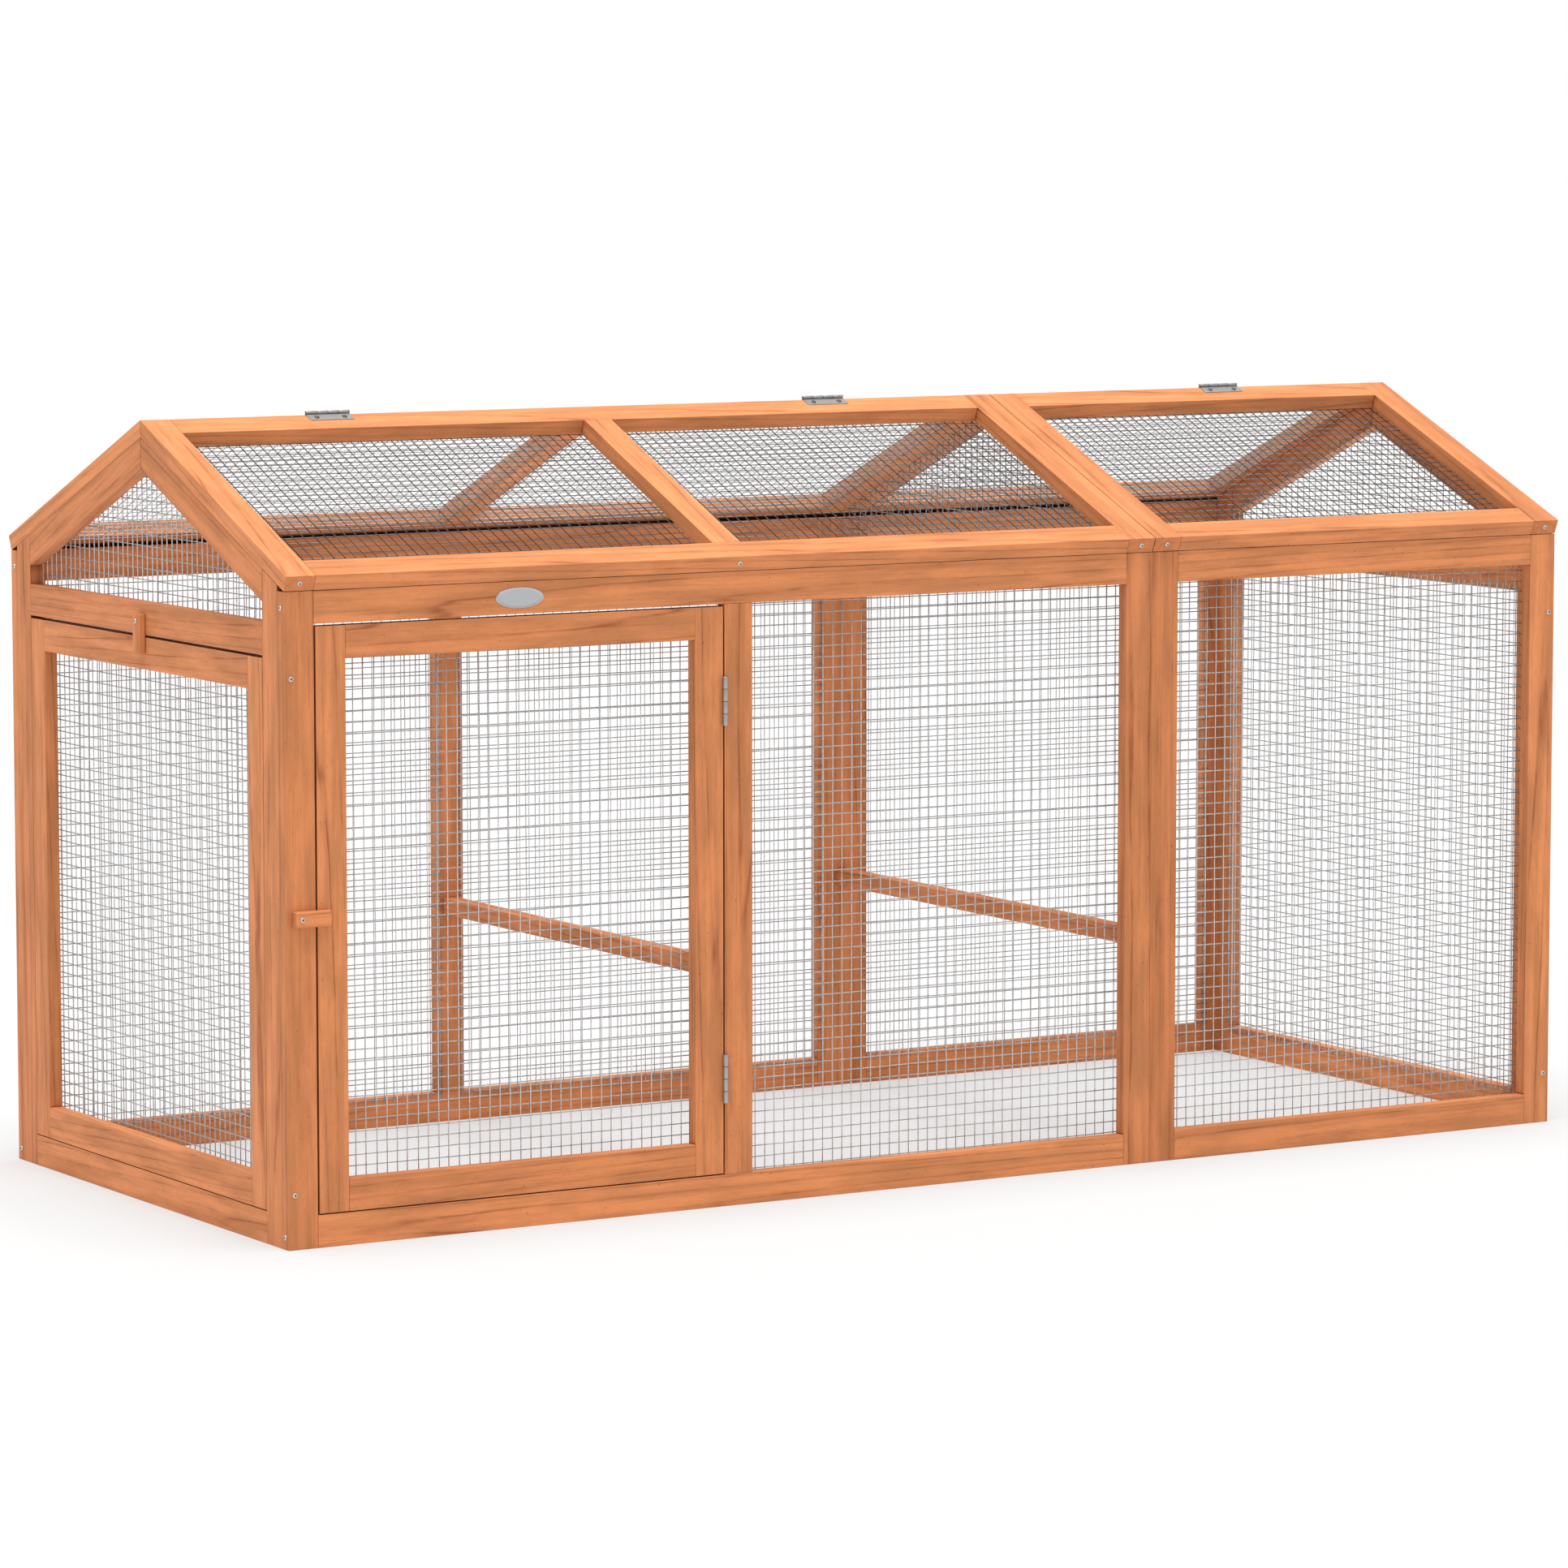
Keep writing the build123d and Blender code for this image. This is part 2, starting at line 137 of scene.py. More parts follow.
def spread(tree, value, low, high, toLow=0.0, toHigh=1.0, kind="SMOOTHSTEP"):
    # value taken from low and high to toLow and toHigh, and held there outside them
    inputs = {"Value": value, "From Min": low, "From Max": high, "To Min": toLow, "To Max": toHigh}
    return addNode(tree, "ShaderNodeMapRange", inputs, interpolation_type=kind).outputs["Result"]


def mixColor(tree, factor, a, b, blend="MIX"):
    # a times (1 - factor) plus b times factor, or a times b for MULTIPLY; 6, 7 and 2 are the colour sockets
    inputs = {0: factor, 6: a, 7: b}
    return addNode(tree, "ShaderNodeMix", inputs, data_type="RGBA", blend_type=blend).outputs[2]


def scaled(tree, vector, factors):
    # vector times factors, axis by axis
    return addNode(tree, "ShaderNodeVectorMath", {0: vector, 1: factors}, operation="MULTIPLY").outputs[0]


def shifted(tree, vector, offset):
    # vector plus offset
    return addNode(tree, "ShaderNodeVectorMath", {0: vector, 1: offset}, operation="ADD").outputs[0]


def noise(tree, vector, factors, detail=2.0, rough=0.5):
    # cloudy noise with as many cells in a metre as factors gives for each axis
    inputs = {"Vector": scaled(tree, vector, factors), "Scale": 1.0, "Detail": detail, "Roughness": rough}
    return addNode(tree, "ShaderNodeTexNoise", inputs).outputs["Fac"]


def newGroup(name, inputs, outputs):
    # a shader group with sockets given as pairs of label and kind
    tree = bpy.data.node_groups.new(name, "ShaderNodeTree")
    for label, kind in inputs:
        tree.interface.new_socket(label, in_out="INPUT", socket_type="NodeSocket" + kind)
    for label, kind in outputs:
        tree.interface.new_socket(label, in_out="OUTPUT", socket_type="NodeSocket" + kind)
    return tree, tree.nodes.new("NodeGroupInput"), tree.nodes.new("NodeGroupOutput")


def newMaterial(name, values):
    # a material whose shader has the given plain values
    material = bpy.data.materials.new(name)
    material.use_nodes = True
    shader = material.node_tree.nodes["Principled BSDF"]
    for key, value in values.items():
        shader.inputs[key].default_value = value
    return material, material.node_tree, shader


# stained softwood: soft bands of stain, growth lines round a tilted pith, fibres, smudges, specks, and painted shade
# in joints and gaps

# the darkest colour here is painted shade for joints and the gaps between boards
wood = {"orange": (0.712, 0.260, 0.1005, 1), "brown": (0.512, 0.197, 0.0783, 1), "growth": (0.27, 0.075, 0.027, 1),
        "smudge": (0.31, 0.118, 0.047, 1), "speck": (0.13, 0.030, 0.012, 1), "endGrain": (0.46, 0.150, 0.056, 1),
        "joint": (0.034, 0.009, 0.004, 1), "specular": 0.10, "roughness": (0.44, 0.60), "bump": 0.15,
        "bumpHeight": 0.0005, "relief": (0.5, 0.4, 0.8),  # fibres and streaks up, specks down
        "tintPowers": (1.15, 1.2),  # a darker board is also a redder one
        # cells in a metre: along the board, across it and through it
        "bands": (4.0, 80, 80), "wash": (9.0, 34, 34), "streaks": (9, 330, 330), "fibres": (60, 1100, 1100),
        "mottle": (110, 210, 210), "smears": (9.5, 62, 62), "smearShift": (3.1, 0.7, 0.9), "dots": (80, 150, 150),
        # how strongly each shows
        "ringTone": 0.12, "ringLine": (0.14, 0.70), "streakShare": 0.34, "fibreShare": 0.24, "mottleShare": 0.24,
        "smearShare": 0.36, "speckShare": 0.7, "capShare": 0.5, "edgeShare": (0.05, 0.40), "jointShare": 0.9,
        # growth rings: their pitch, how far the pith lies from the board and how much it leans along it
        "ringPitch": 0.0105, "pithBeside": 0.035, "pithBelow": (0.016, 0.060), "leanAcross": 0.030,
        "leanThrough": 0.045, "ringStretch": (0.06, 1, 1),
        "dotSize": (0.05, 0.12), "dotRarity": (0.94, 0.36),  # in cells; how rare on clean and on stained wood
        "boardShift": (37.0, 5.0, 5.0), "pithShift": 9.0}  # how far apart the boards lie in the pattern


def buildWoodGroup():
    # stain from orange to brown, darkened in turn by growth lines, streaks, fibres, smudges and specks, times the
    # board's tone, which is partly painted light; then end grain, lighter eased edges and painted shade in joints and
    # gaps
    tree, given, out = newGroup("stainedGrain", [("Grain", "Vector"), ("Board", "Color"), ("Tone", "Float"),
                                                 ("Finish", "Color")],
                                [("Color", "Color"), ("Roughness", "Float"), ("Height", "Float")])
    seedA, seedB, seedC = addNode(tree, "ShaderNodeSeparateColor", {0: given.outputs["Board"]}).outputs
    # the finish channels: end grain, eased edges, and painted shade in joints and gaps
    cap, edge, joint = addNode(tree, "ShaderNodeSeparateColor", {0: given.outputs["Finish"]}).outputs
    along = addNode(tree, "ShaderNodeSeparateXYZ", {0: given.outputs["Grain"]}).outputs[0]
    shiftX, shiftY, shiftZ = wood["boardShift"]
    own = addNode(tree, "ShaderNodeCombineXYZ", {"X": calc(tree, "MULTIPLY", seedA, shiftX),
                                                 "Y": calc(tree, "MULTIPLY", seedB, shiftY),
                                                 "Z": calc(tree, "MULTIPLY", seedC, shiftZ)}).outputs[0]
    place = shifted(tree, given.outputs["Grain"], own)
    # the pith lies beside the board and leans along it, so growth lines drift and close in tongues
    across, through = wood["leanAcross"], wood["leanThrough"]
    leanV = calc(tree, "MULTIPLY", along, spread(tree, seedB, 0, 1, -across, across, "LINEAR"))
    leanW = calc(tree, "MULTIPLY", along, spread(tree, seedC, 0, 1, -through, through, "LINEAR"))
    offV = spread(tree, seedC, 0, 1, -wood["pithBeside"], wood["pithBeside"], "LINEAR")
    offW = spread(tree, seedA, 0, 1, *wood["pithBelow"], "LINEAR")
    pith = addNode(tree, "ShaderNodeCombineXYZ", {"X": calc(tree, "MULTIPLY", seedB, wood["pithShift"]),
                                                  "Y": calc(tree, "ADD", leanV, offV),
                                                  "Z": calc(tree, "ADD", leanW, offW)}).outputs[0]
    rings = addNode(tree, "ShaderNodeTexWave",
                    {"Vector": shifted(tree, scaled(tree, given.outputs["Grain"], wood["ringStretch"]), pith),
                     "Scale": 2 * math.pi / (20 * wood["ringPitch"]), "Distortion": 2.8, "Detail": 3.0,
                     "Detail Scale": 1.1, "Detail Roughness": 0.6},
                    wave_type="RINGS", rings_direction="X", wave_profile="SIN").outputs["Fac"]
    bands = noise(tree, place, wood["bands"], 2.0, 0.5)
    wash = noise(tree, place, wood["wash"], 3.0, 0.6)
    streaks = noise(tree, place, wood["streaks"], 3.0, 0.62)
    fibres = noise(tree, place, wood["fibres"], 3.0, 0.65)
    mottle = noise(tree, place, wood["mottle"], 3.0, 0.6)
    stain = calc(tree, "ADD", calc(tree, "MULTIPLY", bands, 0.5), calc(tree, "MULTIPLY", wash, 0.5))
    color = mixColor(tree, spread(tree, stain, 0.36, 0.62), wood["orange"], wood["brown"])
    ringTone = calc(tree, "MULTIPLY", calc(tree, "POWER", rings, 3.0), wood["ringTone"])
    ringShare = spread(tree, wash, 0.40, 0.66, *wood["ringLine"])
    ringLine = calc(tree, "MULTIPLY", calc(tree, "POWER", rings, 50.0), ringShare)
    color = mixColor(tree, calc(tree, "ADD", ringTone, ringLine), color, wood["growth"])
    color = mixColor(tree, spread(tree, streaks, 0.50, 0.80, 0.0, wood["streakShare"]), color, wood["growth"])
    color = mixColor(tree, spread(tree, fibres, 0.48, 0.80, 0.0, wood["fibreShare"]), color, wood["growth"])
    color = mixColor(tree, spread(tree, mottle, 0.50, 0.85, 0.0, wood["mottleShare"]), color, wood["smudge"])
    smear = noise(tree, shifted(tree, place, wood["smearShift"]), wood["smears"], 4.0, 0.62)
    smear = calc(tree, "MULTIPLY", spread(tree, smear, 0.57, 0.78), spread(tree, fibres, 0.3, 0.6, 0.5, 1.0))
    color = mixColor(tree, calc(tree, "MULTIPLY", smear, wood["smearShare"]), color, wood["smudge"])
    # a speck is a cell whose middle is near enough and whose draw is high enough
    dots = addNode(tree, "ShaderNodeTexVoronoi", {"Vector": scaled(tree, place, wood["dots"]), "Scale": 1.0})
    pick = addNode(tree, "ShaderNodeSeparateColor", {0: dots.outputs["Color"]}).outputs
    dotSize = spread(tree, pick[1], 0, 1, *wood["dotSize"], "LINEAR")
    depth = calc(tree, "DIVIDE", dots.outputs["Distance"], dotSize)
    rarity = spread(tree, wash, 0.36, 0.62, *wood["dotRarity"])
    speck = calc(tree, "MULTIPLY", spread(tree, depth, 1.15, 0.55), calc(tree, "GREATER_THAN", pick[0], rarity))
    color = mixColor(tree, calc(tree, "MULTIPLY", speck, wood["speckShare"]), color, wood["speck"])
    # the board's tone: its own lightness, and on boards that lie in shade inside the run, painted light as well
    shade = given.outputs["Tone"]
    green, blue = (calc(tree, "POWER", shade, power) for power in wood["tintPowers"])
    tint = addNode(tree, "ShaderNodeCombineColor", {0: shade, 1: green, 2: blue}).outputs[0]
    color = mixColor(tree, 1.0, color, tint, "MULTIPLY")
    color = mixColor(tree, calc(tree, "MULTIPLY", cap, wood["capShare"]), color, wood["endGrain"])
    # eased edges mixed patchily towards the light stain
    lighterEdge = calc(tree, "MULTIPLY", edge, spread(tree, mottle, 0.35, 0.7, *wood["edgeShare"]))
    color = mixColor(tree, lighterEdge, color, wood["orange"])
    # painted shade: near-black laid into joints and the gaps between boards
    color = mixColor(tree, calc(tree, "MULTIPLY", joint, wood["jointShare"]), color, wood["joint"])
    fibreRise, streakRise, speckDip = wood["relief"]
    height = calc(tree, "ADD", calc(tree, "MULTIPLY", fibres, fibreRise), calc(tree, "MULTIPLY", streaks, streakRise))
    height = calc(tree, "SUBTRACT", height, calc(tree, "ADD", ringLine, calc(tree, "MULTIPLY", speck, speckDip)))
    rough = spread(tree, stain, 0.3, 0.7, *wood["roughness"])
    for label, value in (("Color", color), ("Roughness", rough), ("Height", height)):
        tree.links.new(value, out.inputs[label])
    return tree


def buildWood():
    # the grain group fed with each board's own attributes
    material, tree, shader = newMaterial("stainedSoftwood", {"Specular IOR Level": wood["specular"]})
    group = addNode(tree, "ShaderNodeGroup", node_tree=buildWoodGroup())
    for label, name, output in (("Grain", "grain", "Vector"), ("Board", "board", "Color"),
                                ("Tone", "board", "Alpha"), ("Finish", "finish", "Color")):
        read = addNode(tree, "ShaderNodeAttribute", attribute_name=name)
        tree.links.new(read.outputs[output], group.inputs[label])
    bump = addNode(tree, "ShaderNodeBump", {"Height": group.outputs["Height"], "Strength": wood["bump"],
                                            "Distance": wood["bumpHeight"]})
    tree.links.new(group.outputs["Color"], shader.inputs["Base Color"])
    tree.links.new(group.outputs["Roughness"], shader.inputs["Roughness"])
    tree.links.new(bump.outputs[0], shader.inputs["Normal"])
    return material


woodMaterial = buildWood()
print("stage: wood")


# boards: every timber solid becomes an eased board with the solid's own section and end cuts

boardForm = {"ease": 0.0007, "endEase": 0.0007, "endRound": 0.6, "arcSteps": 3, "sideStep": 0.004, "endSteps": 2,
             "endGap": 0.00010, "ringStep": 0.05, "cornerShare": 0.2, "buttonEase": 0.0016, "seatRise": 0.0009,
             "endBias": 0.02, "toneLow": 0.985, "toneRange": 0.055, "seed": 1000, "topRailsFrom": 0.5,
             # rings beside each neighbour: how near it has to be, the step to each side, none this close to an end
             "touchReach": 0.004, "touchStep": 0.0015, "endMargin": 0.012,
             # painted shade in joints and gaps: how far out the other board lies and how dark that is painted; the
             # share between moving pieces
             "reaches": ((0.0008, 0.80), (0.0036, 0.85), (0.0050, 0.7), (0.0085, 0.6)), "movingShare": 0.66,
             "nearby": 0.005}

# how light each board is, where it isn't 1: from left to right, front to back or low to high
# mostly each board's own tone; boards inside the run that lie in shade, such as the rear rafters, the back rails and
# the right end's rails, are also painted lighter: painted light
boardToneAndPaintedLight = {"front_a_stiles": (0.94, 0.95), "front_a_mid_post": (0.95,), "front_b_stiles": (0.86, 1.04),
             "front_a_rails": (1.07, 1.0), "door_rails": (0.95, 1.0), "left_end_stiles": (1.02, 0.95),
             "left_end_rails": (1.07, 0.98), "end_panel_stiles": (1.10, 1.04), "end_panel_rails": (1.10, 1.05),
             "left_gable_rafters": (0.97, 0.96), "front_roof_a_centre_rafter": (1.15,),
             "front_roof_a_rails": (1.02, 1.10), "front_roof_b_rails": (1.02, 1.08),
             "front_roof_a_rafters": (1.05, 1.0), "front_roof_b_rafters": (1.0, 0.95),
             "rear_roof_a_centre_rafter": (1.28,), "rear_roof_a_rafters": (1.12, 1.12),
             "rear_roof_b_rafters": (1.15, 1.10),
             "right_end_rails": (1.22, 1.1), "back_a_rails": (1.10, 1.14), "back_b_rails": (1.10, 1.14),
             "back_a_mid_post": (1.07,)}


def readBoard(node, points, tri, number):
    # a section of four corners across the length, and for each end the plane u = a + b v + c w through its corners
    axes = solidAxes(points, tri)
    u, v, w = axes @ points[np.unique(tri)].T
    mid = np.array([(v.max() + v.min()) / 2, (w.max() + w.min()) / 2])
    v, w = v - mid[0], w - mid[1]
    ends = []
    for side in (-1, 1):
        reach = side * boardForm["endBias"] * (u - u.mean()) / np.ptp(u)
        picks = [np.argmax(a * v / v.max() + b * w / w.max() + reach)
                 for a, b in ((1, 1), (-1, 1), (-1, -1), (1, -1))]
        corners = np.stack([v[picks], w[picks]], 1)
        ends.append(np.linalg.lstsq(np.c_[np.ones(4), corners], u[picks], rcond=None)[0])
    top = points[np.unique(tri), 2].mean() > boardForm["topRailsFrom"]
    if node.startswith("back") and node.endswith("rails") and top:
        corners[:, 0] += boardForm["seatRise"] * (corners[:, 0] > 0)  # the rear roof sits on the back wall's top
    if node.startswith("back") and node.endswith("stiles"):
        ends[int(axes[0, 2] > 0)][0] += boardForm["seatRise"] * np.sign(axes[0, 2])
    flat = np.c_[np.ones(4), corners]
    tips = np.concatenate([np.c_[flat @ end, corners + mid] @ axes for end in ends])
    tones = boardToneAndPaintedLight.get(node, (1.0, 1.0))
    return {"node": node, "axes": axes, "mid": mid, "corners": corners, "ends": ends, "tips": tips,
            "seed": boardForm["seed"] + 10 * timber.index(node) + number, "tone": tones[number]}


def touchSpans(board, boards):
    # where along this board each close neighbour starts and stops, a little inside and outside
    reach, step = boardForm["touchReach"], boardForm["touchStep"]
    low, high = board["tips"].min(0) - reach, board["tips"].max(0) + reach
    spots = [0.0]
    for other in boards:
        if other is not board and ((other["tips"].min(0) <= high) & (other["tips"].max(0) >= low)).all():
            u = other["tips"] @ board["axes"][0]
            spots += [u.min() - step, u.min() + step, u.max() - step, u.max() + step]
    start, stop = (end[0] for end in board["ends"])
    t = (np.array(spots) - start) / (stop - start)
    margin = boardForm["endMargin"] / (stop - start)
    return t[(t > margin) & (t < 1 - margin)]


def roundedRing(corners, inset, radius, steps, sideStep=1.0):
    # a polygon with rounded corners: arc centre plus radius times (cos, sin), and points along its straight sides
    edge = np.roll(corners, -1, 0) - corners
    normal = np.stack([edge[:, 1], -edge[:, 0]], 1) / np.linalg.norm(edge, axis=1)[:, None]
    before = np.roll(normal, 1, 0)
    system = np.stack([before, normal], 1)
    reach = np.einsum("kij,kj->ki", system, corners) - inset - radius
    centre = np.linalg.solve(system, reach[:, :, None])[:, :, 0]
    first = np.arctan2(before[:, 1], before[:, 0])
    sweep = (np.arctan2(normal[:, 1], normal[:, 0]) - first) % (2 * math.pi)
    t = np.linspace(0, 1, steps + 1)
    angle = first[:, None] + sweep[:, None] * t
    facing = np.stack([np.cos(angle), np.sin(angle)], 2)
    arc = centre[:, None] + radius * facing
    ring, out, bend = [], [], []
    for k in range(len(corners)):
        s = np.linspace(0, 1, max(1, round(np.linalg.norm(edge[k]) / sideStep)) + 1)[1:-1]
        if len(s):
            near = boardForm["cornerShare"] * s[0]  # a point close to each corner keeps a joint's shade narrow
            s = np.r_[near, s, 1 - near]
        ring += [arc[k], np.outer(1 - s, arc[k, -1]) + np.outer(s, arc[(k + 1) % len(corners), 0])]
        out += [facing[k], np.repeat(normal[k:k + 1], len(s), 0)]
        bend += [np.sin(math.pi * t), np.zeros(len(s))]
    return np.concatenate(ring), np.concatenate(out), np.concatenate(bend)


def shapeBoard(board, boards, ease):
    # rings from one end cut to the other; the first and last rings draw in along a quarter circle
    low, high = board["ends"]
    turn = np.linspace(0, math.pi / 2, boardForm["endSteps"] + 1)
    inset, back = boardForm["endEase"] * (1 - np.sin(turn)), boardForm["endEase"] * (1 - np.cos(turn))
    count = max(2, round((high[0] - low[0]) / boardForm["ringStep"]))
    middle = np.unique(np.round(np.concatenate([np.arange(1, count) / count, touchSpans(board, boards)]), 5))
    rows = [(0.0, k) for k in range(len(turn))] + [(t, len(turn) - 1) for t in middle]
    rows += [(1.0, k) for k in range(len(turn) - 1, -1, -1)]
    verts, facing, grain, finish = [], [], [], []
    for t, k in rows:
        ring, around, arc = roundedRing(board["corners"], inset[k], ease - boardForm["endRound"] * inset[k],
                                        boardForm["arcSteps"], boardForm["sideStep"])
        cut = back[k] + boardForm["endGap"]
        flat = np.c_[np.ones(len(ring)), ring]
        u = (1 - t) * (flat @ low + cut) + t * (flat @ high - cut)
        outward = np.c_[np.full(len(ring), np.sign(t - 0.5) * math.cos(turn[k])), around * math.sin(turn[k])]
        verts.append(np.c_[u, ring + board["mid"]] @ board["axes"])
        facing.append(outward @ board["axes"])
        grain.append(np.c_[u - (low[0] + high[0]) / 2, ring])
        finish.append(np.c_[np.full(len(ring), float(k == 0)), arc, np.zeros(len(ring)), np.ones(len(ring))])
    size = len(verts[0])
    ring = np.arange(size)
    quads = np.stack([ring, np.roll(ring, -1), np.roll(ring, -1) + size, ring + size], 1)
    sides = (quads[None] + size * np.arange(len(rows) - 1)[:, None, None]).reshape(-1, 4)
    caps = np.stack([ring[::-1], ring + size * (len(rows) - 1)])
    draw = np.random.default_rng(board["seed"]).uniform(0, 1, 3)
    board.update(verts=np.concatenate(verts), facing=np.concatenate(facing), faces=[sides, caps],
                 grain=np.concatenate(grain), finish=np.concatenate(finish))
    # the listed tone, partly painted light, times a small random tone of the board's own
    tone = board["tone"] * (boardForm["toneLow"] + boardForm["toneRange"] * draw[2])
    board["color"] = np.tile([*draw, tone], (len(board["verts"]), 1))


def insideBoard(board, points):
    # inside all four sides of the section and between the two end planes
    local = points @ board["axes"].T
    flat = local[:, 1:] - board["mid"]
    edge = np.roll(board["corners"], -1, 0) - board["corners"]
    normal = np.stack([edge[:, 1], -edge[:, 0]], 1)
    within = ((flat[:, None] - board["corners"][None]) * normal[None]).sum(2).max(1) <= 0
    terms = np.c_[np.ones(len(flat)), flat]
    return within & (local[:, 0] >= terms @ board["ends"][0]) & (local[:, 0] <= terms @ board["ends"][1])


def paintGapShade(boards):
    # painted shade: a point is darkened when a short step straight out of the surface lands inside another board;
    # turn-buttons leave no mark, and boards that move apart get a lighter one
    low = np.array([board["verts"].min(0) for board in boards]) - boardForm["nearby"]
    high = np.array([board["verts"].max(0) for board in boards]) + boardForm["nearby"]
    for number, board in enumerate(boards):
        near = np.flatnonzero(((low <= high[number]) & (high >= low[number])).all(1))
        for other in (boards[k] for k in near if k != number):
            if "button" in other["node"] + board["node"]:
                continue
            share = 1.0 if nodeBody[other["node"]] == nodeBody[board["node"]] else boardForm["movingShare"]
            for reach, strength in boardForm["reaches"]:
                hit = insideBoard(other, board["verts"] + reach * board["facing"])
                board["finish"][:, 2] = np.maximum(board["finish"][:, 2], share * strength * hit)


timberKinds = ("stiles", "rails", "post", "rafters", "rafter")
timber = [node for node in sorted(nodeBody) if node.split("_")[-1] in timberKinds]
timber += ["perch_a", "perch_b", "door_button", "end_button"]
boards = [readBoard(node, points, tri, number)
          for node in timber for number, (points, tri) in enumerate(solidsOf(node))]
for board in boards:
    shapeBoard(board, boards, boardForm["buttonEase" if "button" in board["node"] else "ease"])
paintGapShade(boards)
for node in timber:
    group = [board for board in boards if board["node"] == node]
    starts = np.cumsum([0] + [len(board["verts"]) for board in group])
    faces = []
    for board, start in zip(group, starts):
        for block in board["faces"]:
            faces += (block + start).tolist()
    joined = {key: np.concatenate([board[key] for board in group]) for key in ("verts", "grain", "color", "finish")}
    makePiece(pieceName(node, "Boards"), joined["verts"], faces, woodMaterial, nodeBody[node], node,
              {"grain": joined["grain"], "board": joined["color"], "finish": joined["finish"]})
print("stage: boards,", len(boards))


# wire mesh: straight welded wires at the real pitch inside each net's outline

wireForm = {"pitch": 0.01425, "radius": 0.00071, "roofRadius": 0.00060, "sides": 6, "steps": 6, "seed": 301,
            "jitter": 0.0004, "firstGap": (0.2, 0.8), "wander": 0.00034, "bends": (9.0, 19.0), "sway": (1.0, 0.6),
            "layer": 1.9, "outlineTurns": 720, "inside": (0, 0, 0.5), "rising": 0.2,
            # the third colour is painted shade, laid on the wires by their tone
            "dull": (0.46, 0.46, 0.46, 1), "bright": (0.63, 0.63, 0.625, 1), "dark": (0.018, 0.018, 0.019, 1),
            "metallic": 0.5, "roughness": (0.38, 0.55), "patches": (220, 220, 220), "grit": (2600, 2600, 2600),
            "bump": 0.2, "bumpHeight": 0.0001,
            # painted shade: how dark the level wires and the rising ones are painted; the first pair is for every net
            # that isn't listed below
            "wallTone": (0.32, 0.0), "uneven": (0.9, 1.05),
            "tones": {"front_roof": (0.66, 0.99), "rear_roof": (0.10, 0.10), "seam_gable": (0.35, 0.35)}}


def buildWireMaterial():
    # patches from dull to bright zinc, darkened by the painted shade in each wire's tone, with a fine grit
    material, tree, shader = newMaterial("galvanisedWire", {"Metallic": wireForm["metallic"]})
    place = addNode(tree, "ShaderNodeTexCoord").outputs["Object"]
    dark = addNode(tree, "ShaderNodeAttribute", attribute_name="tone").outputs["Fac"]
    patch = noise(tree, place, wireForm["patches"], 3.0, 0.6)
    color = mixColor(tree, spread(tree, patch, 0.35, 0.65), wireForm["dull"], wireForm["bright"])
    color = mixColor(tree, dark, color, wireForm["dark"])
    tree.links.new(color, shader.inputs["Base Color"])
    tree.links.new(spread(tree, patch, 0.3, 0.7, *wireForm["roughness"]), shader.inputs["Roughness"])
    bump = addNode(tree, "ShaderNodeBump", {"Height": noise(tree, place, wireForm["grit"]),
                                            "Strength": wireForm["bump"], "Distance": wireForm["bumpHeight"]})
    tree.links.new(bump.outputs[0], shader.inputs["Normal"])
    return material


wireMaterial = buildWireMaterial()


def outlineOf(flat):
    # convex outline: the furthest corner in each of many directions, once each, in turning order
    turn = np.linspace(0, 2 * math.pi, wireForm["outlineTurns"], endpoint=False)
    furthest = (flat @ np.stack([np.cos(turn), np.sin(turn)])).argmax(0)
    return flat[furthest[furthest != np.roll(furthest, 1)]]


def spanAcross(outline, along, value):
    # where a straight wire at one value enters and leaves the outline
    a, b = outline, np.roll(outline, -1, 0)
    crosses = (a[:, 1 - along] - value) * (b[:, 1 - along] - value) < 0
    a, b = a[crosses], b[crosses]
    share = (value - a[:, 1 - along]) / (b[:, 1 - along] - a[:, 1 - along])
    spots = a[:, along] + share * (b - a)[:, along]
    return (spots.min(), spots.max()) if len(spots) > 1 else (0.0, 0.0)


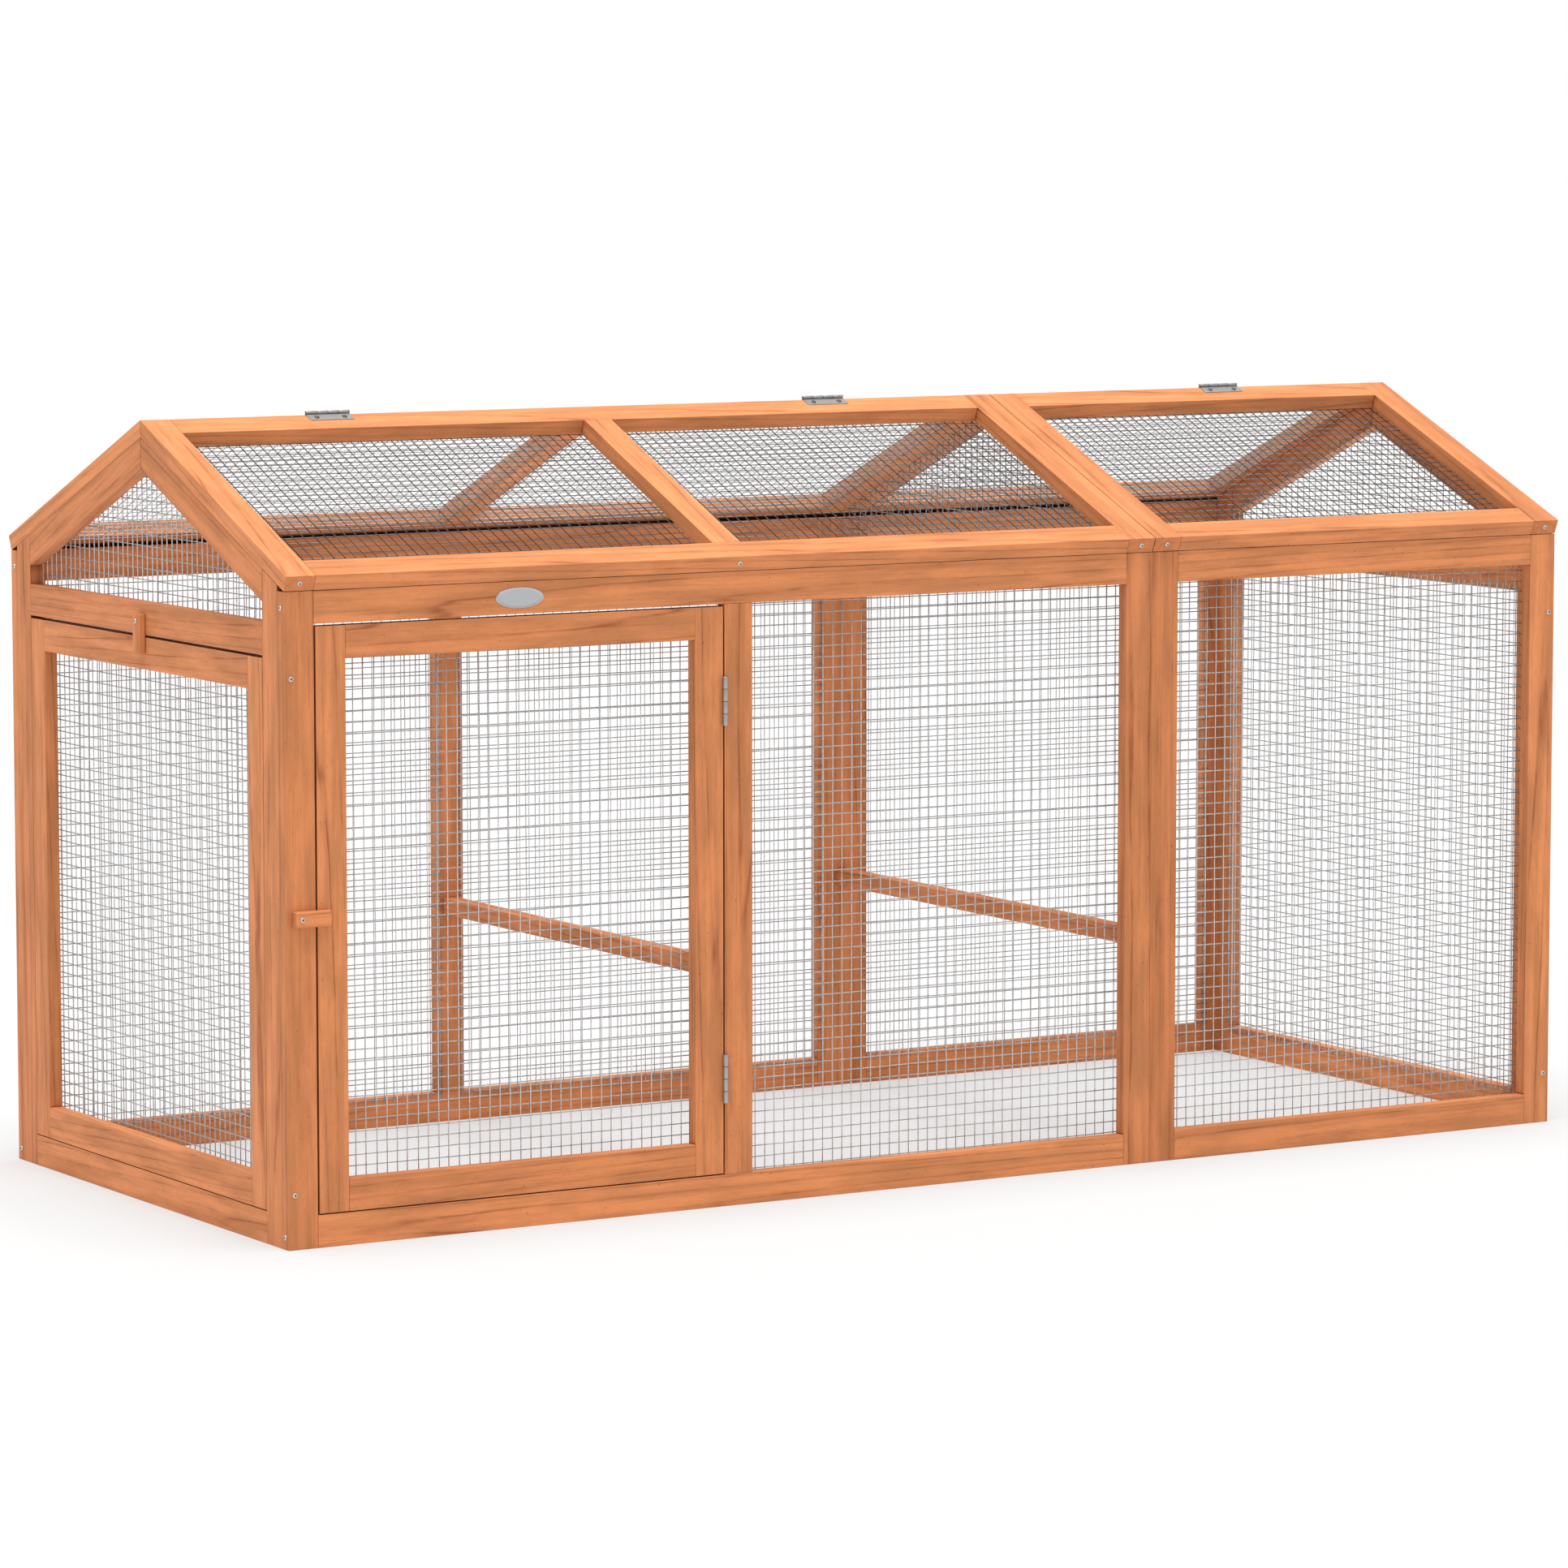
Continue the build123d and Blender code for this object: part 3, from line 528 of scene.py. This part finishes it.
def wirePiece(node, seed):
    # a tube along each wire: its line plus a slow sway of two sines, and round it radius times (cos, sin)
    rng = np.random.default_rng(seed)
    tones = wireForm["tones"].get("_".join(node.split("_")[:2]), wireForm["wallTone"])
    radius = wireForm["roofRadius" if "roof" in node else "radius"]
    sides, steps = wireForm["sides"], wireForm["steps"]
    turn = np.arange(sides) * 2 * math.pi / sides
    k = np.arange(sides)
    quads = np.stack([k, (k + 1) % sides, (k + 1) % sides + sides, k + sides], 1)
    tube = (quads[None] + sides * np.arange(steps)[:, None, None]).reshape(-1, 4)
    caps = np.stack([k[::-1], k + sides * steps])
    verts, faces, shades, start = [], [], [], 0
    for points, tri in solidsOf(node):
        axes = solidAxes(points, tri)
        u, v, w = axes @ points[np.unique(tri)].T
        outline = outlineOf(np.stack([u, v], 1))
        inwards = 1 if axes[2] @ np.array(wireForm["inside"]) > w.mean() else -1
        face = w.min() if inwards > 0 else w.max()
        for along in (0, 1):
            low, high = outline[:, 1 - along].min(), outline[:, 1 - along].max()
            values = np.arange(low + rng.uniform(*wireForm["firstGap"]) * wireForm["pitch"], high, wireForm["pitch"])
            values = values + rng.uniform(-1, 1, len(values)) * wireForm["jitter"]
            layer = face + inwards * radius * (1 if along else 1 + wireForm["layer"])
            lineAxis, sideAxis = axes[along], axes[1 - along]
            hand = 1 if along == 0 else -1  # keeps the tube's faces pointing out
            ring = radius * (np.outer(np.cos(turn), sideAxis) + hand * np.outer(np.sin(turn), axes[2]))
            for value in values:
                first, last = spanAcross(outline, along, value)
                if last - first < wireForm["pitch"]:
                    continue
                t = np.linspace(first, last, steps + 1)
                wave = rng.uniform(0, 2 * math.pi, 2)
                sway = wireForm["wander"] * np.sin(np.outer(t, wireForm["bends"]) + wave) @ wireForm["sway"]
                centre = np.outer(t, lineAxis) + np.outer(value + sway, sideAxis) + layer * axes[2]
                verts.append((centre[:, None] + ring[None]).reshape(-1, 3))
                faces += (tube + start).tolist() + (caps + start).tolist()
                start += len(verts[-1])
                # painted shade: each net's level and rising wires are painted to their own darkness, the front roof's
                # nearly black, with a small random spread
                tone = tones[int(abs(lineAxis[2]) > wireForm["rising"])] * rng.uniform(*wireForm["uneven"])
                shades.append(np.full((len(verts[-1]), 4), min(tone, 1.0)))
    return makePiece(pieceName(node, "Wires"), np.concatenate(verts), faces, wireMaterial, nodeBody[node], node,
                     {"tone": np.concatenate(shades)}, smooth=True)


nets = [node for node in sorted(nodeBody) if node.endswith("_mesh")]
for number, node in enumerate(nets):
    wirePiece(node, wireForm["seed"] + number)
print("stage: wire mesh,", len(nets), "nets")


# zinc hardware

zinc = {"hinge": ((0.29, 0.285, 0.28, 1), (0.46, 0.45, 0.445, 1)),  # dull and bright
        "screw": ((0.44, 0.44, 0.42, 1), (0.76, 0.76, 0.74, 1)),
        "plate": ((0.40, 0.41, 0.415, 1), (0.50, 0.51, 0.52, 1)),
        # the darkest colour here is painted shade for joint lines and recesses
        "dark": (0.02, 0.021, 0.022, 1), "clouds": (130, 130, 130), "brushing": (300, 2200, 2200),
        "metallic": 0.8, "roughness": (0.36, 0.50), "bump": 0.10, "bumpHeight": 0.0001}


def buildZincGroup():
    # half cloud and half brushing choose between dull and bright, and the tone paints shade into joint lines and
    # recesses
    tree, given, out = newGroup("zincBloom", [("Dull", "Color"), ("Bright", "Color"), ("Tone", "Float")],
                                [("Color", "Color"), ("Roughness", "Float"), ("Height", "Float")])
    place = addNode(tree, "ShaderNodeTexCoord").outputs["Object"]
    cloud = noise(tree, place, zinc["clouds"], 3.0, 0.55)
    grain = noise(tree, place, zinc["brushing"], 2.0, 0.5)
    bloom = calc(tree, "ADD", calc(tree, "MULTIPLY", cloud, 0.5), calc(tree, "MULTIPLY", grain, 0.5))
    color = mixColor(tree, bloom, given.outputs["Dull"], given.outputs["Bright"])
    color = mixColor(tree, given.outputs["Tone"], color, zinc["dark"])
    rough = spread(tree, grain, 0.3, 0.7, *zinc["roughness"])
    for label, value in (("Color", color), ("Roughness", rough), ("Height", grain)):
        tree.links.new(value, out.inputs[label])
    return tree


zincGroup = buildZincGroup()


def buildZinc(name, dull, bright):
    # the zinc group with one finish's own two colours
    material, tree, shader = newMaterial(name, {"Metallic": zinc["metallic"]})
    group = addNode(tree, "ShaderNodeGroup", node_tree=zincGroup)
    group.inputs["Dull"].default_value = dull
    group.inputs["Bright"].default_value = bright
    tone = addNode(tree, "ShaderNodeAttribute", attribute_name="tone")
    tree.links.new(tone.outputs["Fac"], group.inputs["Tone"])
    bump = addNode(tree, "ShaderNodeBump", {"Height": group.outputs["Height"], "Strength": zinc["bump"],
                                            "Distance": zinc["bumpHeight"]})
    tree.links.new(group.outputs["Color"], shader.inputs["Base Color"])
    tree.links.new(group.outputs["Roughness"], shader.inputs["Roughness"])
    tree.links.new(bump.outputs[0], shader.inputs["Normal"])
    return material


hingeMaterial = buildZinc("hingeZinc", *zinc["hinge"])
screwMaterial = buildZinc("screwZinc", *zinc["screw"])
plateMaterial = buildZinc("plateMetal", *zinc["plate"])


# hinges: rolled knuckles turned round the pin and a round-cornered leaf

hingeForm = {"sides": 20, "tipSteps": 4, "edge": 0.0005, "endShare": 0.5, "cornerRadius": 0.0022, "cornerSteps": 4,
             "leafThick": 0.001, "leafEdge": 0.00015, "setback": 0.0005, "lineTone": 0.85, "slack": 1e-4,
             "leafFrom": 1.2, "tongueFrom": 0.2}  # shares of the knuckle's radius


def ringsToFaces(count, size, start, closed):
    # quads from each ring to the next, and from the last one back to the first where the section is closed
    k = np.arange(size)
    quads = np.stack([k, (k + 1) % size, (k + 1) % size + size, k + size], 1)
    faces = quads[None] + size * np.arange(count - 1)[:, None, None]
    if closed:
        last = np.stack([k, (k + 1) % size, (k + 1) % size - (count - 1) * size, k - (count - 1) * size], 1)
        faces = np.concatenate([faces, last[None] + size * (count - 1)])
    return (faces.reshape(-1, 4) + start).tolist()


def turnedKnuckle(low, high, bore, radius, outer):
    # a ring section carried once round the pin: place along the pin, radius, and how much painted shade darkens the
    # joint line there
    a = np.linspace(math.pi / 2, 0, hingeForm["tipSteps"])
    sides = []
    for end, inwards, free in ((low, 1, outer[0]), (high, -1, outer[1])):
        e = hingeForm["endShare"] * radius if free else hingeForm["edge"]  # a free end is a rounded tip
        arc = np.c_[end + inwards * e * (1 - np.sin(a)), radius - e * (1 - np.cos(a)), (1 - free) * np.sin(a)]
        sides.append(np.r_[[(end, bore, 1 - free)], arc])
    return np.r_[sides[0], sides[1][::-1]]


def hingePiece(node, pins):
    # a flat leaf with round corners, and knuckles turned as pin + place * along + radius * (cos, sin)
    verts, faces, shades, rounded = [], [], [], []
    turn = np.arange(hingeForm["sides"]) * 2 * math.pi / hingeForm["sides"]
    slack, thick, edge = hingeForm["slack"], hingeForm["leafThick"], hingeForm["leafEdge"]
    for points, tri in solidsOf(node):
        own = points[np.unique(tri)]
        along = np.eye(3)[np.ptp(own, axis=0).argmax()]
        pin = min(pins, key=lambda spot: np.linalg.norm(spot - own.mean(0)))
        a, b, c = points[tri].transpose(1, 0, 2)
        normal = np.cross(b - a, c - a)
        out = normal[np.linalg.norm(normal, axis=1).argmax()]
        out = out / np.linalg.norm(out) * np.sign((pin - own.mean(0)) @ out)
        away = np.cross(along, out)
        away = away * np.sign((own.mean(0) - pin) @ away)
        along = np.cross(away, out)
        x, y, z = np.stack([along, away, out]) @ (own - pin).T
        curl = y < -slack
        bore, radius = np.hypot(y, z)[curl].min(), np.hypot(y, z)[curl].max()
        spans = np.unique(np.round(x[curl], 4)).reshape(-1, 2)
        foot = z[y > hingeForm["leafFrom"] * radius].min()
        circle = np.outer(np.cos(turn), away) + np.outer(np.sin(turn), out)
        for low, high in spans:
            outer = (low < x.min() + slack, high > x.max() - slack)
            profile = turnedKnuckle(low, high, bore, radius, np.array(outer, float))
            start = sum(len(block) for block in verts)
            faces += ringsToFaces(len(profile), len(turn), start, True)
            rounded += [True] * (len(faces) - len(rounded))
            # painted shade along the joint lines between knuckles
            for spot, r, tone in profile:
                verts.append(pin + spot * along + r * circle)
                shades.append(np.full((len(turn), 4), tone * hingeForm["lineTone"]))
        tongue = (hingeForm["tongueFrom"] * radius, radius + 2 * hingeForm["setback"])
        sheets = [(x.min(), x.max(), radius + hingeForm["setback"], y.max(), hingeForm["cornerRadius"])]
        sheets += [(low, high, *tongue, edge * 2) for low, high in spans]
        for low, high, near, far, corner in sheets:
            corners = np.array([(high, far), (low, far), (low, near), (high, near)])
            start = sum(len(block) for block in verts)
            layers = ((0, edge), (edge, 0), (thick - edge, 0), (thick, edge))
            for rise, inset in layers:
                ring = roundedRing(corners, inset, corner, hingeForm["cornerSteps"])[0]
                verts.append(pin + ring @ np.stack([along, away]) + (foot + rise) * out)
                shades.append(np.zeros((len(ring), 4)))
            k = np.arange(len(ring)) + start
            faces += ringsToFaces(len(layers), len(ring), start, False)
            faces += [k[::-1].tolist(), (k + (len(layers) - 1) * len(ring)).tolist()]
            rounded += [False] * (len(faces) - len(rounded))
    return makePiece(pieceName(node, "Rolled"), np.concatenate(verts), faces, hingeMaterial, nodeBody[node], node,
                     {"tone": np.concatenate(shades)}, smooth=rounded)


hingeNodes = [node for node in sorted(nodeBody) if "leaves" in node or "leaf" in node]
pinSpots = [points[np.unique(tri)].mean(0) for node in ("door_hinge_pins", "ridge_hinge_pins")
            for points, tri in solidsOf(node)]
for node in hingeNodes:
    hingePiece(node, pinSpots)
for node in ("door_hinge_pins", "ridge_hinge_pins"):
    frame["nodes"][node].data.materials.clear()
    frame["nodes"][node].data.materials.append(hingeMaterial)


# screws: a pan head with a cross recess on a plain shank

screwForm = {"headRadius": 0.0032, "headHeight": 0.0014, "recessHalf": 0.00042, "recessReach": 0.0017,
             "recessDepth": 0.0009, "recessTaper": 0.72, "shankRadius": 0.0016, "tipLength": 0.004, "sides": 24,
             "flushRadius": 0.0022, "flushShare": 0.5, "rimShare": 0.9, "leafScrewLength": 0.018, "leafTone": 0.88,
             "recessTone": 0.7, "seed": 401,
             "profile": ((0.98, 0.0), (1.0, 0.25), (0.93, 0.62), (0.74, 0.9), (0.60, 1.0))}


def screwShape():
    # a pan head turned round its axis, with a cross recess zipped into the crown; the last column marks the shank's
    # foot, and the recess comes last
    form, sides = screwForm, screwForm["sides"]
    turn = 2 * math.pi * (np.arange(sides) - 1) / sides
    circle, zeros = np.c_[np.cos(turn), np.sin(turn)], np.zeros(sides)
    loops = [np.c_[form["shankRadius"] * circle, zeros + form["tipLength"], zeros + 1],
             np.c_[form["shankRadius"] * circle, zeros, zeros]]
    loops += [np.c_[r * form["headRadius"] * circle, zeros + h * form["headHeight"], zeros]
              for r, h in form["profile"]]
    a, reach = form["recessHalf"], form["recessReach"]
    arm = np.array([(reach, -a), (reach, a), (a, a)])
    cross = np.concatenate([arm @ np.array([(c, s), (-s, c)]) for c, s in ((1, 0), (0, 1), (-1, 0), (0, -1))])
    count = len(cross)
    top = np.c_[cross, np.full(count, form["headHeight"]), np.zeros(count)]
    floor = np.c_[cross * form["recessTaper"], np.full(count, form["headHeight"] - form["recessDepth"]),
                  np.zeros(count)]
    verts = np.concatenate([np.array([[0, 0, 0, 1]])] + loops + [top, floor])
    k, m = np.arange(sides), np.arange(count)
    blocks = [np.stack([np.zeros(sides, int), 1 + (k + 1) % sides, 1 + k], 1)]
    quads = np.stack([k, (k + 1) % sides, (k + 1) % sides + sides, k + sides], 1)
    blocks += [quads + 1 + number * sides for number in range(len(loops) - 1)]
    rim, mouth = 1 + (len(loops) - 1) * sides, 1 + len(loops) * sides
    spokes = np.append(turn, turn[0] + 2 * math.pi)
    points = np.unwrap(np.arctan2(cross[:, 1], cross[:, 0]))
    points = np.append(points, points[0] + 2 * math.pi)
    crown, i, j = [], 0, 0
    while i < sides or j < count:  # the next corner by angle, of the rim or of the cross
        if j == count or (i < sides and spokes[i + 1] <= points[j + 1]):
            crown.append((rim + i, rim + (i + 1) % sides, mouth + j % count))
            i += 1
        else:
            crown.append((rim + i % sides, mouth + (j + 1) % count, mouth + j))
            j += 1
    wall = np.stack([m, (m + 1) % count, (m + 1) % count + count, m + count], 1) + mouth
    blocks += [np.array(crown), wall, m[None] + mouth + count]
    return verts, blocks, 2 * count


def screwPiece(node, seed, pins):
    # the turned head set on each screw's own axis at a random turn, its shank's foot stretched to the screw's tip
    rng = np.random.default_rng(seed)
    shape, blocks, recess = screwShape()
    verts, faces, shades = [], [], []
    for points, tri in solidsOf(node):
        own = points[np.unique(tri)]
        centre = own.mean(0)
        axis = np.linalg.svd(own - centre)[2][0]
        away = np.linalg.norm(np.cross(own - centre, axis), axis=1)
        flush = away.max() < screwForm["flushRadius"]
        pin = min(pins, key=lambda spot: np.linalg.norm(spot - centre))
        rim = away > screwForm["rimShare"] * away.max()
        lead = (pin - centre) @ axis if flush else ((own - centre) @ axis)[rim].mean()
        axis = axis * np.sign(lead)  # points out of the head
        tip, crown = ((own - centre) @ axis).min(), ((own - centre) @ axis).max()
        inLeaf = crown - tip < screwForm["leafScrewLength"]
        squeeze = screwForm["flushShare"] if flush else 1.0
        seat = crown - screwForm["headHeight"] * squeeze
        side = np.cross(axis, (0, 0, 1) if abs(axis[2]) < 0.9 else (1, 0, 0))
        side = side / np.linalg.norm(side)
        angle = rng.uniform(0, math.pi)
        across = math.cos(angle) * side + math.sin(angle) * np.cross(axis, side)
        local = np.stack([across, np.cross(axis, across), axis])
        height = shape[:, 2] * squeeze + shape[:, 3] * (tip - seat)
        for block in blocks:
            faces += (block + len(shape) * len(verts)).tolist()
        verts.append(np.c_[shape[:, :2] * squeeze, height + seat] @ local + centre)
        # painted shade: screws in a hinge leaf are darkened all over, and every cross recess is darkened
        shades.append(np.full((len(shape), 4), screwForm["leafTone"] if inLeaf else 0.0))
        shades[-1][-recess:] = screwForm["recessTone"]
    return makePiece(pieceName(node, "Heads"), np.concatenate(verts), faces, screwMaterial, nodeBody[node], node,
                     {"tone": np.concatenate(shades)})


screwNodes = [node for node in sorted(nodeBody) if node.endswith("screws")]
for number, node in enumerate(screwNodes):
    screwPiece(node, screwForm["seed"] + number, pinSpots)


# the bare oval plate: shares of its half width and of its thickness, from the middle to the edge

plateForm = {"sides": 72, "profile": ((0.0, 0.60), (0.45, 0.60), (0.78, 0.60), (0.86, 0.60), (0.90, 0.78),
                                      (0.93, 0.97), (0.96, 1.0), (0.98, 0.80), (0.995, 0.45), (1.0, 0.0))}


def platePiece(node):
    # an ellipse of rings whose height follows the profile: a flat field inside a raised rim
    low, high = (np.array(corner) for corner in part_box(node))
    middle, half = (low + high) / 2, (high - low) / 2
    turn = np.arange(plateForm["sides"]) * 2 * math.pi / plateForm["sides"]
    rings = [np.c_[middle[0] + r * half[0] * np.cos(turn), np.full(len(turn), high[1] - 2 * h * half[1]),
                   middle[2] + r * half[2] * np.sin(turn)] for r, h in plateForm["profile"][1:]]
    verts = np.concatenate([[[middle[0], high[1] - 2 * plateForm["profile"][0][1] * half[1], middle[2]]]] + rings)
    k, n = np.arange(len(turn)), len(turn)
    faces = np.stack([np.zeros(n, int), 1 + k, 1 + (k + 1) % n], 1).tolist()
    for number in range(len(rings) - 1):
        base = 1 + number * n
        faces += (np.stack([k, k + n, (k + 1) % n + n, (k + 1) % n], 1) + base).tolist()
    faces.append((1 + (len(rings) - 1) * n + k)[::-1].tolist())
    return makePiece("ovalPlateField", verts, faces, plateMaterial, nodeBody[node], node, smooth=True)


platePiece("oval_plate")
print("stage: hardware")


# floor, light and camera

floorForm = {"size": 40.0, "seen": (0.335, 0.335, 0.335, 1), "lift": 0.40, "lit": (0.70, 0.70, 0.70, 1),
             "roughness": 0.9, "specular": 0.1}
light = {"room": 0.65, "backdrop": 1.0, "sunStrength": 3.8, "sunElevation": 84.0, "sunAzimuth": -20.0,
         "sunSpread": 40.0}
camera = {"place": (-4.4437, -7.389, 1.4236), "azimuth": 30.9136, "pitch": 6.2713, "lens": 150.569,
          "sensor": 36.0, "farthest": 100.0}


def direction(azimuth, elevation):
    # a unit vector, by degrees clockwise from +Y and up from level
    a, e = math.radians(azimuth), math.radians(elevation)
    return Vector((math.sin(a) * math.cos(e), math.cos(a) * math.cos(e), math.sin(e)))


def buildFloor():
    # a wide flat sheet that reflects one shade to the object and shows a lifted, paler one
    size = floorForm["size"]
    mesh = bpy.data.meshes.new("paleFloor")
    mesh.from_pydata([(-size, -size, 0), (size, -size, 0), (size, size, 0), (-size, size, 0)], [], [(0, 1, 2, 3)])
    material, tree, shader = newMaterial("palePaper", {"Roughness": floorForm["roughness"],
                                                       "Specular IOR Level": floorForm["specular"]})
    seen = addNode(tree, "ShaderNodeLightPath").outputs["Is Camera Ray"]
    tree.links.new(mixColor(tree, seen, floorForm["lit"], floorForm["seen"]), shader.inputs["Base Color"])
    tree.links.new(spread(tree, seen, 0, 1, 0.0, floorForm["lift"], "LINEAR"), shader.inputs["Emission Strength"])
    mesh.materials.append(material)
    floor = bpy.data.objects.new("paleFloor", mesh)
    scene.collection.objects.link(floor)


def buildLight():
    # an even white room with a brighter backdrop, and one broad sun from high up
    world = bpy.data.worlds.new("softRoom")
    world.use_nodes = True
    tree = world.node_tree
    seen = addNode(tree, "ShaderNodeLightPath").outputs["Is Camera Ray"]
    strength = spread(tree, seen, 0, 1, light["room"], light["backdrop"], "LINEAR")
    tree.nodes["Background"].inputs["Color"].default_value = (1, 1, 1, 1)
    tree.links.new(strength, tree.nodes["Background"].inputs["Strength"])
    scene.world = world
    lamp = bpy.data.lights.new("softSun", "SUN")
    lamp.energy = light["sunStrength"]
    lamp.angle = math.radians(light["sunSpread"])
    sun = bpy.data.objects.new("softSun", lamp)
    towards = direction(180 - light["sunAzimuth"], light["sunElevation"])
    sun.rotation_euler = towards.to_track_quat("Z", "Y").to_euler()
    scene.collection.objects.link(sun)


def buildCamera():
    # a long lens at the photograph's angle, aimed by azimuth and pitch
    lens = bpy.data.cameras.new("camera")
    lens.sensor_width = camera["sensor"]
    lens.lens = camera["lens"]
    lens.clip_end = camera["farthest"]
    seen = bpy.data.objects.new("camera", lens)
    seen.location = camera["place"]
    seen.rotation_euler = direction(camera["azimuth"], -camera["pitch"]).to_track_quat("-Z", "Y").to_euler()
    scene.collection.objects.link(seen)
    scene.camera = seen


buildFloor()
buildLight()
buildCamera()
scene.view_settings.view_transform = "Standard"
scene.view_settings.look = "None"
print("stage: floor, light and camera")
